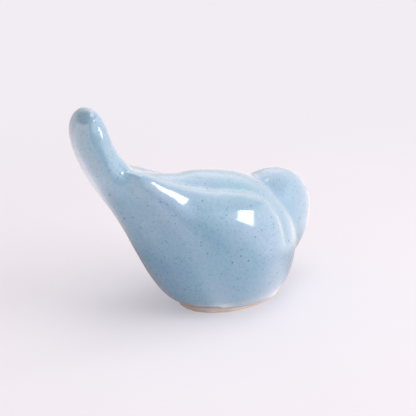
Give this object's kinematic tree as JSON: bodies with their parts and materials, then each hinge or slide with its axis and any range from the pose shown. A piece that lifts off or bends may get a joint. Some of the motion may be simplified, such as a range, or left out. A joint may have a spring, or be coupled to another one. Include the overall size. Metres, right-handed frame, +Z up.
{
  "type": "ceramic bird figurine",
  "caption": "Small hollow stoneware bird with cocked tail, folded wings and head turned left, under a glossy speckled blue glaze, standing on a bare flat clay foot.",
  "frame": {"origin": "middle of the foot's underside, on the surface the bird stands on", "axes": "+X forward, the way the bird looks; +Y to the bird's left; +Z up"},
  "size_m": [0.1083, 0.05, 0.0843],
  "materials": {
    "glaze": "glossy light blue glaze with fine dark iron speckles",
    "bare_clay": "unglazed pale stoneware, matt"
  },
  "bodies": {
    "root": {"foot_slab": "bare_clay", "belly_bowl": "glaze", "back_shell": "glaze", "tail": "glaze", "left_wing": "glaze", "right_wing": "glaze", "head": "glaze", "beak": "glaze"}
  },
  "joints": []
}
